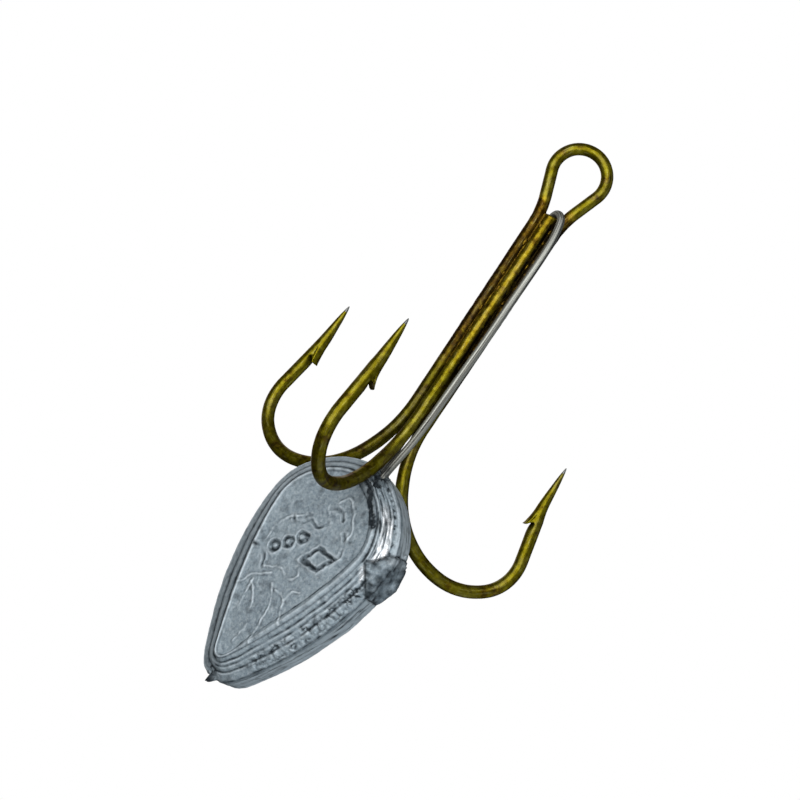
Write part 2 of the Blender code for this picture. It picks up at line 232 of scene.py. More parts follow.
def smooth_curve(route, steps):
    """Catmull-Rom curve through the route's points."""
    route = [np.array(point, float) for point in route]
    ends = [2 * route[0] - route[1], *route, 2 * route[-1] - route[-2]]
    points = []
    for index in range(1, len(ends) - 2):
        before, start, end, after = ends[index - 1:index + 3]
        for step in range(steps):
            t = step / steps
            points.append(0.5 * (2 * start + (end - before) * t
                                 + (2 * before - 5 * start + 4 * end - after) * t * t
                                 + (3 * start - before - 3 * end + after) * t ** 3))
    points.append(ends[-2])
    return np.array(points)


def lengths_along(path):
    steps = np.linalg.norm(np.diff(path, axis=0), axis=1)
    return np.concatenate(([0.0], np.cumsum(steps)))


def sample(path, stations):
    """Points of the path at the given distances along it."""
    along = lengths_along(path)
    return np.stack([np.interp(stations, along, path[:, axis]) for axis in range(3)], axis=1)


def frames_along(path):
    """Tangent, normal and binormal at each point, with no twist between neighbours."""
    tangents = np.gradient(path, axis=0)
    tangents /= np.linalg.norm(tangents, axis=1)[:, None]
    normal = Vector(tangents[0]).orthogonal().normalized()
    normals = []
    last = Vector(tangents[0])
    for tangent in tangents:
        tangent = Vector(tangent)
        normal = last.rotation_difference(tangent) @ normal
        normal = (normal - tangent * normal.dot(tangent)).normalized()
        normals.append(normal)
        last = tangent
    normals = np.array(normals)
    return tangents, normals, np.cross(tangents, normals)


def ring_ways(normals, binormals, angles):
    """Unit directions from each point of a path to the sides of a wire round it."""
    return (normals[:, None, :] * np.cos(angles)[None, :, None]
            + binormals[:, None, :] * np.sin(angles)[None, :, None])


def grain_values(angles, stations, along):
    """Coordinates that run round a wire and much slower along it, for its lengthwise lines."""
    return np.stack([np.tile(np.cos(angles), len(stations)), np.tile(np.sin(angles), len(stations)),
                     np.repeat(stations, len(angles)) * along], axis=1)


def distance_to_line(points, line):
    """Distance from each point to a line of straight runs."""
    best = np.full(len(points), np.inf)
    for start, end in zip(line[:-1], line[1:]):
        run = end - start
        share = np.clip(((points - start) @ run) / (run @ run), 0.0, 1.0)
        best = np.minimum(best, np.linalg.norm(points - start - share[:, None] * run, axis=1))
    return best


def grid_faces(rings, around, start_cap=True, end_cap=True):
    """Faces of a closed tube of rings, each of the same number of points."""
    faces = []
    for ring in range(rings - 1):
        for side in range(around):
            after = (side + 1) % around
            faces.append((ring * around + side, ring * around + after,
                          (ring + 1) * around + after, (ring + 1) * around + side))
    if start_cap:
        faces.append(tuple(range(around)))
    if end_cap:
        faces.append(tuple((rings - 1) * around + side for side in range(around)))
    return faces


def make_piece(name, vertices, faces, material, replaces, values=None, merge=0.0):
    """A piece from vertices in mm, with named values on its points, riding on the hook."""
    mesh = bpy.data.meshes.new(name)
    mesh.from_pydata((np.asarray(vertices) * MM).tolist(), [], faces)
    for key, numbers in (values or {}).items():
        numbers = np.asarray(numbers, dtype=np.float32)
        kind = "FLOAT_VECTOR" if numbers.ndim == 2 else "FLOAT"
        layer = mesh.attributes.new(key, kind, "POINT")
        layer.data.foreach_set("vector" if numbers.ndim == 2 else "value", numbers.ravel())
    edit = bmesh.new()
    edit.from_mesh(mesh)
    if merge:
        bmesh.ops.remove_doubles(edit, verts=edit.verts, dist=merge * MM)
    bmesh.ops.recalc_face_normals(edit, faces=edit.faces)
    edit.to_mesh(mesh)
    edit.free()
    mesh.shade_smooth()
    piece = bpy.data.objects.new(name, mesh)
    bpy.context.scene.collection.objects.link(piece)
    mesh.materials.append(material)
    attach(piece, "root")
    for node in replaces:
        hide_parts(node)
    return piece


# ---------------- routes of the wires

def bend_profile():
    """Smooth hook outline as (reach, height), from the straight shank to the point."""
    runs = [(turn, math.radians(turn) * radius) for turn, radius in BEND_ARCS]
    runs.append((0.0, THROAT_STRAIGHT - SPEAR_TURN_LENGTH / 2))
    runs.append((SPEAR_TURN, SPEAR_TURN_LENGTH))
    runs.append((0.0, SPEAR_LENGTH - SPEAR_TURN_LENGTH / 2))
    reach, height, heading = 0.0, BEND_START, 0.0
    profile = [(reach, height)]
    for turn, length in runs:
        steps = math.ceil(length / 0.2)
        for _ in range(steps):
            heading += math.radians(turn) / steps / 2
            reach += length / steps * math.sin(heading)
            height -= length / steps * math.cos(heading)
            heading += math.radians(turn) / steps / 2
            profile.append((reach, height))
    return np.array(profile)


def hook_bend(shank_foot, hook):
    """The bend in space, from the shank's straight part to the point."""
    tilt = math.radians(hook.lean)
    azimuth = math.radians(hook.azimuth)
    outward = np.array([math.cos(azimuth), math.sin(azimuth), 0.0])
    profile = bend_profile()
    below = profile[:, 1] - BEND_START
    reach = profile[:, 0] * math.cos(tilt) + below * math.sin(tilt)
    level = BEND_START + hook.rise + below * math.cos(tilt) - profile[:, 0] * math.sin(tilt)
    points = outward[None, :] * reach[:, None]
    points[:, :2] += shank_foot[:2]
    points[:, 2] = level
    return points


def eye_plane(across, height, ahead=0.0):
    angle = math.radians(EYE_AZIMUTH)
    side = np.array([math.cos(angle), math.sin(angle), 0.0])
    front = np.array([math.sin(angle), -math.cos(angle), 0.0])
    return side * across + front * ahead + np.array([0.0, 0.0, height])


def half_eye():
    """Right half of the eye, from its top to the top of the leg, as (across, height)."""
    flank = math.radians(EYE_FLANK)
    half = []
    for angle in np.linspace(math.pi / 2, -flank, 40):
        half.append((EYE_RADIUS * math.cos(angle), EYE_RADIUS * math.sin(angle)))
    line_end = LEG_HALF_TOP + CROTCH_RADIUS * (1 - math.cos(flank))
    drop = (half[-1][0] - line_end) / math.tan(flank)
    arc_top = half[-1][1] - drop
    for angle in np.linspace(flank, 0.0, 16):
        across = LEG_HALF_TOP + CROTCH_RADIUS * (1 - math.cos(angle))
        half.append((across, arc_top - CROTCH_RADIUS * (math.sin(flank) - math.sin(angle))))
    return half


def double_hook_route():
    """From the left hook's point round the eye to the right hook's point."""
    half = half_eye()
    sides = []
    for side, hook in ((-1, HOOK_LEFT), (1, HOOK_RIGHT)):
        down = [eye_plane(side * across, height) for across, height in half]
        bend = hook_bend(eye_plane(side * LEG_HALF_BOTTOM, 0), hook)
        sides.append(np.concatenate((down, bend)))
    return np.concatenate((sides[0][::-1], sides[1][1:]))


def single_ahead(height):
    share = (height - SINGLE_TOP) / (BEND_START - SINGLE_TOP)
    return SINGLE_AHEAD_TOP + (SINGLE_AHEAD_BOTTOM - SINGLE_AHEAD_TOP) * share


def single_hook_route():
    top = eye_plane(0, SINGLE_TOP, SINGLE_AHEAD_TOP)
    return np.concatenate(([top], hook_bend(eye_plane(0, 0, SINGLE_AHEAD_BOTTOM), HOOK_FRONT)))


def leg_half(height):
    top = half_eye()[-1][1]
    share = min(1.0, max(0.0, (height - top) / (BEND_START - top)))
    return LEG_HALF_TOP + (LEG_HALF_BOTTOM - LEG_HALF_TOP) * share


def hairpin_route():
    """Up in front of the right leg, over the crotch, down behind the legs into the weight."""
    route = (
        (1.35, -2.35, -57.0), (1.85, -2.35, -52.0), (1.98, -2.04, -48.9), (1.74, -1.42, -47.5),
        (1.66, -0.75, -45.2), (1.78, -0.50, -43.2), (2.04, -0.52, -39.8), (2.19, -0.42, -33.1),
        (2.34, -0.31, -26.3), (2.38, -0.29, -19.6), (2.44, -0.24, -12.8), (2.35, -0.36, -9.5),
        (1.99, -0.57, -7.1), (1.44, -0.53, -6.35), (0.75, -0.22, -6.12), (0.10, 0.22, -6.22),
        (-0.42, 0.60, -6.95), (-0.48, 0.63, -8.2), (-0.48, 0.62, -14.0), (-0.48, 0.62, -25.0),
        (-0.48, 0.60, -36.0), (-0.39, 0.49, -40.0), (0.10, -0.23, -44.0), (0.60, -1.16, -47.5),
        (0.85, -1.75, -49.0), (0.72, -2.10, -52.0), (0.20, -2.10, -57.0),
    )
    return smooth_curve(route, 16)


# ---------------- hook wire with barbs

def spear_radius(from_point, taper):
    share = np.clip(from_point / taper, 0.0, 1.0) ** SPEAR_POWER
    return (POINT_WIDTH + (HOOK_WIRE - POINT_WIDTH) * share) / 2


def barb_section():
    """The barb's middle section sampled evenly, as (past the barb, height) pairs."""
    cut = np.array([(past, height, 0.0) for past, height in BARB_CUT])
    rising = smooth_curve(cut[:BARB_TIP + 1], 8)
    falling = smooth_curve(cut[BARB_TIP + 1:], 8)
    whole = np.concatenate((rising, falling))
    return sample(whole, np.linspace(0, lengths_along(whole)[-1], BARB_RINGS))[:, :2]


def wire_stations(barb_at):
    """Distances from the point at which a hook's bend gets its rings."""
    tip = np.array([0.0, 0.02, 0.06, 0.12, 0.2])
    before = np.arange(0.32, barb_at - BARB_BEFORE - 0.08, 0.16)
    around = np.linspace(barb_at - BARB_BEFORE, barb_at + BARB_AFTER, BARB_RINGS)
    after = np.arange(barb_at + BARB_AFTER + 0.3, BEND_LENGTH, 0.4)
    return np.concatenate((tip, before, around, after))


def raise_barb(hook, from_point, toward_bend, tangents, ways, shift, lift, barb_shade):
    """Moves the wire's points round one barb along the wire and out from it, and paints shade under its
    sliver and in its scoop.
    """
    past_barb = from_point - hook.barb
    zone = np.where((past_barb >= -BARB_BEFORE - 1e-4) & (past_barb <= BARB_AFTER + 1e-4))[0]
    order = zone[np.argsort(from_point[zone])]
    section = barb_section()
    section = section[np.linspace(0, len(section) - 1, len(order)).round().astype(int)]
    azimuth = math.radians(hook.azimuth)
    inward = np.array([-math.cos(azimuth), -math.sin(azimuth), 0.0])
    turn = math.radians(hook.turn)
    for ring, (past, height) in zip(order, section):
        along = tangents[ring] * toward_bend
        inner = inward - along * (inward @ along)
        inner /= np.linalg.norm(inner)
        inner = inner * math.cos(turn) + np.cross(along, inner) * math.sin(turn)
        off = np.degrees(np.arccos(np.clip(ways[ring] @ inner, -1, 1)))
        narrow = 1.0 - 0.40 * max(0.0, height) / 0.88
        weight = 1 - smoothstep(BARB_HALF_ANGLE * narrow, BARB_FADE_ANGLE * narrow, off)
        shift[ring] += weight * (past - past_barb[ring]) * toward_bend
        lift[ring] += weight * height
        # painted shade under the raised sliver and in the scoop
        barb_shade[ring] += weight * np.clip((0.10 - height) * 3.0, 0, 1) * (past > -0.95)


def hook_stations(total, start_hook, end_hook):
    """Distances along a hook wire at which it gets its rings, closest at the barbs."""
    stations = [np.array([0.0, total])]
    if start_hook:
        stations.append(wire_stations(start_hook.barb))
    if end_hook:
        stations.append(total - wire_stations(end_hook.barb))
    covered_low = stations[1].max() if start_hook else 0.0
    covered_high = stations[-1].min()
    stations.append(np.arange(covered_low + 0.25, covered_high - 0.1, 0.3))
    return np.unique(np.round(np.concatenate(stations), 5))


def hook_wire(name, route, start_hook, end_hook, material, replaces, sides=48):
    """A swept wire. start_hook and end_hook are the hooks whose points end it, or None."""
    total = lengths_along(route)[-1]
    stations = hook_stations(total, start_hook, end_hook)
    centre = sample(route, stations)
    tangents, normals, binormals = frames_along(centre)
    angles = np.linspace(0, math.tau, sides, endpoint=False)
    ways = ring_ways(normals, binormals, angles)
    radii = np.full(len(stations), HOOK_WIRE / 2)
    tip = np.full(len(stations), 30.0)
    shift = np.zeros((len(stations), sides))
    lift = np.zeros((len(stations), sides))
    barb_shade = np.zeros((len(stations), sides))
    ends = ((start_hook, stations, 1.0), (end_hook, total - stations, -1.0))
    for hook, from_point, toward_bend in ends:
        if not hook:
            continue
        near = from_point < SPEAR_ZONE
        radii[near] = spear_radius(from_point[near], hook.taper)
        tip[near] = np.minimum(tip[near], from_point[near])
        raise_barb(hook, from_point, toward_bend, tangents, ways, shift, lift, barb_shade)
    reach = np.hypot(centre[:, 0], centre[:, 1])
    radii = radii * (1 + FORGED_GROWTH * smoothstep(1.5, 3.5, reach) * (centre[:, 2] < -20.0))
    radial = radii[:, None] + lift
    points = centre[:, None, :] + ways * radial[:, :, None] + tangents[:, None, :] * shift[:, :, None]
    flat = points.reshape(-1, 3)
    rough = noise_at(flat, 2.2, 3.0) * 0.012 + noise_at(flat, 0.5, 8.0, 2) * 0.005
    burnt = np.repeat(burnt_along(centre) * (1.0 if start_hook else 0.45), sides)
    rough += burnt * noise_at(flat, 0.8, 15.0, 3) * 0.030
    fade = np.repeat(smoothstep(0.0, 3.0, tip), sides)
    flat = flat + ways.reshape(-1, 3) * (rough * fade)[:, None]
    values = {
        "tip": np.repeat(tip, sides),
        "burnt": burnt,
        # painted shade in the groove beside the single shank and down the left leg
        "groove_shade": groove_shade_at(flat),
        # painted shade under the barbs
        "cut": np.clip(barb_shade.ravel(), 0, 1),
        "grain": grain_values(angles, stations, 0.12),
    }
    return make_piece(name, flat, grid_faces(len(stations), sides), material,
                      replaces, values)


def groove_shade_at(points):
    """Painted shade: 1 in the shaded groove right of the single shank, half that down the shaded left
    leg.
    """
    angle = math.radians(EYE_AZIMUTH)
    across = points[:, 0] * math.cos(angle) + points[:, 1] * math.sin(angle)
    height = points[:, 2]
    along = smoothstep(-37.0, -31.0, height) * (1 - smoothstep(-8.2, -6.8, height))
    groove = along * smoothstep(0.25, 0.62, across)
    down_leg = smoothstep(-50.0, -45.0, height) * (1 - smoothstep(-12.0, -8.0, height))
    on_leg = smoothstep(-6.5, -4.0, across) * (1 - smoothstep(-0.95, -0.75, across))
    return np.maximum(groove, 0.5 * down_leg * on_leg)


def burnt_along(centre):
    """1 where the brazing heat has stained the wire, 0 well away from it."""
    height = centre[:, 2]
    near_axis = np.hypot(centre[:, 0], centre[:, 1]) < 4.5
    return smoothstep(-34.0, -27.0, height) * (1 - smoothstep(-6.0, -4.6, height)) * near_axis


# ---------------- braze

def braze_bead(name, side, material, node, fill, seed):
    """Lumpy brazing metal in the groove between one leg and the single shank."""
    heights = np.linspace(BRAZE_TOP, BRAZE_BOTTOM, BRAZE_RINGS)
    around = BRAZE_SIDES
    vertices = []
    for height in heights:
        leg = eye_plane(side * leg_half(height), height)
        single = eye_plane(0, height, single_ahead(max(height, BEND_START)))
        between = single - leg
        reach = np.linalg.norm(between)
        along = between / reach
        out = np.array([along[1], -along[0], 0.0]) * side
        ends = min(smoothstep(BRAZE_BOTTOM, BRAZE_BOTTOM + 3.0, height),
                   1 - 0.6 * smoothstep(BRAZE_TOP - 1.2, BRAZE_TOP, height))
        wave = noise.fractal(Vector((0, seed, height * 0.7)), 1.0, 2.0, 3, noise_basis="PERLIN_ORIGINAL")
        bulge = HOOK_WIRE / 2 * (fill + 0.16 * wave) * (0.35 + 0.65 * ends)
        half = reach * (0.40 + 0.04 * wave)
        middle = (leg + single) / 2
        for step in range(around):
            angle = math.tau * step / around
            high = math.sin(angle)
            stand = bulge * high if high > 0 else 0.35 * high
            vertices.append(middle + along * half * math.cos(angle) + out * stand)
    vertices = np.array(vertices)
    lumps = noise_at(vertices, 0.9, seed) * 0.06 + noise_at(vertices, 0.3, seed + 4, 2) * 0.015
    middle_line = np.repeat(vertices.reshape(len(heights), around, 3).mean(axis=1), around, axis=0)
    outward = vertices - middle_line
    outward /= np.linalg.norm(outward, axis=1)[:, None] + 1e-9
    vertices = vertices + outward * lumps[:, None]
    return make_piece(name, vertices, grid_faces(len(heights), around), material, [node])


def braze_spatter(material):
    """Small drops of braze on the wires and a rough cap on the single shank's cut end."""
    vertices = []
    faces = []
    rings, around = 10, 14
    for index, (place, size) in enumerate(BRAZE_DROPS):
        centre = eye_plane(*place)
        first = len(vertices)
        for ring in range(rings):
            polar = math.pi * (ring + 0.5) / rings
            for step in range(around):
                angle = math.tau * step / around
                way = np.array([math.sin(polar) * math.cos(angle),
                                math.sin(polar) * math.sin(angle), math.cos(polar)])
                swell = 1 + 0.28 * noise.noise(Vector(way * 1.6) + Vector((index * 7.0, 0, 0)))
                vertices.append(centre + way * np.array(size) * swell)
        for face in grid_faces(rings, around):
            faces.append(tuple(first + corner for corner in face))
    return make_piece("braze_spatter", vertices, faces, material, [])


# ---------------- hairpin

def hairpin(material):
    """Drawn wire with shallow lengthwise lines, bent over the eye's crotch."""
    route = hairpin_route()
    stations = np.arange(0.0, lengths_along(route)[-1], 0.3)
    centre = sample(route, stations)
    _, normals, binormals = frames_along(centre)
    angles = np.linspace(0, math.tau, HAIRPIN_SIDES, endpoint=False)
    ways = ring_ways(normals, binormals, angles)
    drawn = np.array([noise.noise(Vector((math.cos(a) * 5, math.sin(a) * 5, 1.0))) for a in angles])
    radial = HAIRPIN_WIRE / 2 + drawn[None, :] * 0.012
    points = (centre[:, None, :] + ways * radial[:, :, None]).reshape(-1, 3)
    points = points + ways.reshape(-1, 3) * (noise_at(points, 1.6, 5.0) * 0.008)[:, None]
    values = {
        "grain": grain_values(angles, stations, 0.02),
        # darker towards the lower end, where it goes into the lead
        "darkening": 1 - smoothstep(-49.5, -45.5, points[:, 2]),
    }
    return make_piece("drawn_hairpin", points, grid_faces(len(stations), HAIRPIN_SIDES), material,
                      ["hairpin_wire"], values)


# ---------------- lead weight

def lead_outline(shape):
    """Teardrop outline of one section, evenly matched from section to section."""
    _, half_width, rise, taper, power, tip = shape
    outline = []
    for angle in np.linspace(0, math.pi, 230, endpoint=False):
        across = math.copysign(abs(math.cos(angle)) ** (2 / LEAD_ROUND_POWER), math.cos(angle))
        outline.append((half_width * across, rise * math.sin(angle) ** (2 / LEAD_ROUND_POWER)))
    shares = np.linspace(0, 1, 190)
    widths = tip + (half_width - tip) * (1 - shares ** power)
    outline += [(-width, -taper * share) for width, share in zip(widths, shares)]
    outline += [(tip * across, -taper) for across in np.linspace(-1, 1, 22)[1:-1]]
    outline += [(width, -taper * share) for width, share in zip(widths[::-1], shares[::-1])][:-1]
    outline = np.array(outline)
    for _ in range(110):
        near_tip = smoothstep(-taper + 3.0, -taper + 1.0, outline[:, 1])[:, None] * 0.5
        near_top = (1 - smoothstep(1.0, 2.5, np.abs(outline[:, 1])))[:, None] * 0.3
        even = (np.roll(outline, 1, axis=0) + np.roll(outline, -1, axis=0)) / 2
        outline += (even - outline) * np.maximum(near_tip, near_top)
    return outline


def spine_height(up):
    """Height on the faces' middle line towards which points at the given heights shrink."""
    return np.clip(up * LEAD_SPINE, LEAD_SPINE_LOW, 0.0)


def lead_rings():
    """Rings of (across, depth, up) from the front face's middle to the back's, and their place.

    The place is -1 to 0 on the front face, 0 to 1 on the front slope, 1 to 2 on the wall,
    2 to 3 on the back slope and 3 to 4 on the back face.
    """
    shapes = (LEAD_FACE, LEAD_PARTING, LEAD_WALL, LEAD_BACK)
    sections = [(shape[0], lead_outline(shape)) for shape in shapes]
    rings = []
    places = []

    def inset(depth, outline, share):
        spine = spine_height(outline[:, 1])
        across = outline[:, 0] * share
        up = spine + (outline[:, 1] - spine) * share
        return np.stack([across, np.full(len(outline), depth), up], axis=1)

    for share in np.linspace(0.0, 1.0, LEAD_FACE_RINGS, endpoint=False) ** 0.85:
        rings.append(inset(*sections[0], share))
        places.append(share - 1)
    for band, count in LEAD_BANDS:
        front_depth, front = sections[band]
        back_depth, back = sections[band + 1]
        for share in np.linspace(0, 1, count, endpoint=False):
            outline = front + (back - front) * share
            depth = front_depth + (back_depth - front_depth) * share
            rings.append(np.stack([outline[:, 0], np.full(len(outline), depth), outline[:, 1]], axis=1))
            places.append(band + share)
    for share in np.linspace(1.0, 0.0, LEAD_BACK_RINGS):
        rings.append(inset(*sections[3], share))
        places.append(4 - share)
    return np.array(rings), np.array(places)


def lead_to_frame(local):
    """Weight's own (across, depth, up) to the frame."""
    tilt = math.radians(LEAD_TILT)
    across, depth, up = local[:, 0], local[:, 1], local[:, 2]
    x = LEAD_CENTRE[0] + across * math.cos(tilt) + up * math.sin(tilt)
    z = LEAD_CENTRE[1] - across * math.sin(tilt) + up * math.cos(tilt)
    return np.stack([x, depth, z], axis=1)


def point_normals(vertices, faces):
    mesh = bpy.data.meshes.new("normals")
    mesh.from_pydata(vertices.tolist(), [], faces)
    normals = np.zeros(len(vertices) * 3, dtype=np.float32)
    mesh.vertices.foreach_get("normal", normals)
    bpy.data.meshes.remove(mesh)
    return normals.reshape(-1, 3)


def push_out(points, ways, corners):
    """How far each point must move along its way to leave the convex lump of the corners."""
    lump = bmesh.new()
    for corner in corners:
        lump.verts.new(corner)
    hull = bmesh.ops.convex_hull(lump, input=lump.verts)
    centre = np.mean(corners, axis=0)
    leave = np.full(len(points), np.inf)
    inside = np.ones(len(points), bool)
    for face in hull["geom"]:
        if not isinstance(face, bmesh.types.BMFace):
            continue
        face.normal_update()
        normal = np.array(face.normal)
        place = np.array(face.verts[0].co)
        if normal @ (place - centre) < 0:
            normal = -normal
        gap = (place - points) @ normal
        inside &= gap > -1e-6
        speed = ways @ normal
        leave = np.where(speed > 1e-6, np.minimum(leave, gap / np.maximum(speed, 1e-6)), leave)
    lump.free()
    return np.where(inside & np.isfinite(leave), leave, 0.0)


def ridge(distance, width):
    return np.exp(-(distance / width) ** 2)


def wobble(flat, amount):
    """Small sideways wander for lines drawn on the face."""
    moved = flat.copy()
    moved[:, 0] += amount * noise_at(flat, 1.1, 21.0, 2)
    moved[:, 2] += amount * noise_at(flat, 1.1, 37.0, 2)
    return moved


def face_line(line):
    """A line given as (across, up) on the face, smoothed."""
    return smooth_curve([(across, 0.0, up) for across, up in line], 6)


def lozenge_distance(flat):
    """Signed distance from the outline of the generic mark's lozenge."""
    (across, up), long_half, short_half, turn = MARK_LOZENGE
    angle = math.radians(turn)
    x = (flat[:, 0] - across) * math.cos(angle) + (flat[:, 2] - up) * math.sin(angle)
    z = -(flat[:, 0] - across) * math.sin(angle) + (flat[:, 2] - up) * math.cos(angle)
    scale = long_half * short_half / math.hypot(long_half, short_half)
    return (np.abs(x) / long_half + np.abs(z) / short_half - 1) * scale


class Relief:
    """What stands out from the plain casting at each point, how dark, light and shiny it is; most of the
    dark is painted shade and most of the light and shine painted highlight.

    local holds (across, depth, up), place runs round the section as lead_rings says, and
    edge is the distance in from the face's outline.
    """

    def __init__(self, local, place, edge):
        self.local, self.place, self.edge = local, place, edge
        self.across, self.up = local[:, 0], local[:, 2]
        self.height, self.dark, self.light, self.shine, self.broken = np.zeros((5, len(local)))
        self.on_face = (place < 0).astype(float)
        self.on_slope = smoothstep(-0.02, 0.03, place) * (1 - smoothstep(0.98, 1.03, place))
        self.right = smoothstep(-1.0, 1.5, self.across)
        self.low = 1 - smoothstep(-2.5, -0.5, self.up)
        self.coarse = noise_at(local, 1.3, 61.0, 3)
        self.medium = noise_at(local, 0.6, 65.0, 3)
        self.wander = 0.028 * noise_at(local, 2.5, 71.0, 2)
        flat = local * np.array([1.0, 0.0, 1.0])
        self.moved = wobble(flat, 0.20)
        self.drawn = self.on_face * np.clip(0.72 + 1.1 * noise_at(flat, 1.3, 51.0, 3), 0.05, 1.3)

    def add(self, height=0.0, dark=0.0, light=0.0):
        self.height += height
        self.dark += dark
        self.light += light

    def streaks(self, over, along, seed):
        """Noise drawn out along the casting's edge, over times finer across the section."""
        where = [self.place * over, self.up * along, self.across * along]
        return noise_at(np.stack(where, axis=1), 1.0, seed, 3)


def rim_and_recess(r):
    """The rim and the recessed face within it, with a smooth strip along the right; the recess's foot is
    painted dark as shade and the rim's crest gets a painted highlight, stronger on the left.
    """
    strip = 0.30 + 0.62 * r.right * smoothstep(-21.0, -17.0, r.up)
    crest = r.edge - strip * 0.55
    foot = ridge(r.edge - strip - 0.18, 0.13) * (0.45 + 0.55 * r.right) * (1 + r.coarse)
    # painted shade at the recess's foot, painted highlight on the crest, lighter to the left where the
    # light falls
    r.add(height=r.on_face * (0.14 * ridge(crest, 0.20) - 0.16 * smoothstep(0.0, 0.22, r.edge - strip)),
          dark=0.55 * r.on_face * foot,
          light=r.on_face * ridge(crest, 0.22) * (0.9 - 0.35 * r.right))


def veins_and_creases(r):
    """Raised cold-shut veins and sunk creases on the face, with painted highlights on the raised parts
    and painted shade beside the veins and in the creases.
    """
    for vein in VEINS:
        gap = distance_to_line(r.moved, face_line(vein))
        line = ridge(gap, 0.125) * r.drawn
        r.add(height=0.09 * line, dark=0.28 * ridge(gap - 0.28, 0.12) * r.drawn, light=line)
    for number, crease in enumerate(CREASES):
        gap = distance_to_line(r.moved, face_line(crease))
        line = ridge(gap, 0.17) * r.drawn * (0.9 if number == 0 else 0.65)
        r.add(height=0.06 * ridge(gap - 0.38, 0.16) * r.drawn - 0.18 * line,
              dark=0.9 * line,
              light=0.5 * ridge(gap - 0.40, 0.14) * r.drawn)


def generic_mark(r):
    """The lozenge and the three pips: sunk outlines painted dark as shade, with a raised border that
    gets a painted highlight.
    """
    pips = [np.hypot(r.moved[:, 0] - across, r.moved[:, 2] - up) for across, up in MARK_PIPS]
    patchy = r.on_face * np.clip(0.9 + 0.9 * r.medium, 0.3, 1.3)
    for gap in (np.abs(lozenge_distance(r.moved)), np.abs(np.min(pips, axis=0) - PIP_RADIUS)):
        r.add(height=r.on_face * (0.13 * ridge(gap - 0.44, 0.18) - 0.28 * ridge(gap, 0.21)),
              dark=0.95 * ridge(gap, 0.23) * patchy,
              light=0.65 * ridge(gap - 0.48, 0.16) * patchy)


def upper_rim(r):
    """A dark sunk strip inside the upper right rim, a crease all along it in painted shade and a pale
    lip outside with a painted highlight.
    """
    darkening = ridge(distance_to_line(r.moved, face_line(DARK_STRIP_LINE)), 0.42) * r.on_face
    r.add(height=-0.20 * darkening, dark=darkening * np.clip(1.5 + 1.6 * r.medium, 0, 2.0))
    upper = smoothstep(-1.0, 1.0, r.up)
    crease = ridge(r.place - 0.03, 0.035) * r.right * (0.45 + 0.55 * upper)
    r.add(height=-0.18 * crease, dark=1.3 * crease)
    lip = ridge(r.place - 0.11, 0.04) * r.right * upper
    r.add(height=0.10 * lip, light=0.8 * lip)


def slope_lines(r):
    """Tool marks on the slope: terraces low on the right, fine lines on the left, with painted shade in
    their grooves, painted highlights beside them and painted shade low on the left slope.
    """
    place = r.place + r.wander
    lower_right = r.on_slope * r.low * r.right
    patch = np.clip(0.85 + 0.8 * r.coarse, 0.2, 1.3)
    for at, deep, wide in TERRACES:
        line = deep * ridge(place - at, wide) * lower_right * patch
        beside = ridge(place - at - 0.065, wide) * lower_right
        r.add(height=0.06 * beside - 0.16 * line, dark=0.95 * line, light=0.60 * beside * patch)
    left = r.on_slope * (1 - r.right)
    for at, deep in FINE_LINES:
        line = deep * ridge(place - at, 0.06) * left
        r.add(height=-0.07 * line, dark=0.95 * np.maximum(line, 0), light=0.75 * np.maximum(-line, 0))
    r.add(dark=0.10 * left * r.low)


def slope_blocks(r):
    """Chiselled blocks between ragged cracks, low on the slope's right, with painted shade in the cracks
    and painted highlights on the blocks.
    """
    ragged = r.local + 0.35 * np.stack([r.medium, r.coarse, -r.medium], axis=1)
    chatter = borders_at(ragged * np.array([1.0, 1.3, 0.8]), 1.15, 3.0)
    place = r.place + r.wander
    blocks = r.on_slope * r.low * r.right * smoothstep(-22.5, -19.0, r.up)
    blocks = blocks * smoothstep(0.36, 0.48, place) * (1 - smoothstep(0.86, 0.95, place))
    blocks = blocks * np.clip(0.72 + 1.2 * r.coarse, 0.1, 1.2)
    cracks = ridge(chatter, 0.11)
    r.add(height=blocks * (0.10 * smoothstep(0.1, 0.5, chatter) - 0.16 * cracks),
          dark=0.85 * blocks * cracks,
          light=0.35 * blocks * smoothstep(0.25, 0.6, chatter))


def bright_band(r):
    """Streaky bright band at the slope's upper right, a painted highlight where the slope faces the
    light, speckled dark at its outer side.
    """
    band = r.on_slope * r.right * (1 - r.low)
    stripes = r.streaks(15.0, 0.40, 81.0)
    shine = band * smoothstep(0.14, 0.30, r.place) * (1 - smoothstep(0.60, 0.72, r.place))
    shine = shine * (1 - smoothstep(5.5, 8.0, r.up))
    r.shine += shine * np.clip(0.75 + 0.9 * stripes + 0.5 * r.medium, 0, 1.2)
    inner = 1 - smoothstep(0.60, 0.75, r.place)
    gaps = np.clip(-stripes - 0.05, 0, 1) * (0.5 + 1.2 * inner)
    specks = ridge(r.place - 0.74, 0.07) * np.clip(0.2 + 2.6 * r.medium, 0, 1.2)
    r.add(height=0.10 * band * stripes, dark=band * (gaps + specks),
          light=0.45 * band * smoothstep(0.72, 0.85, r.place))


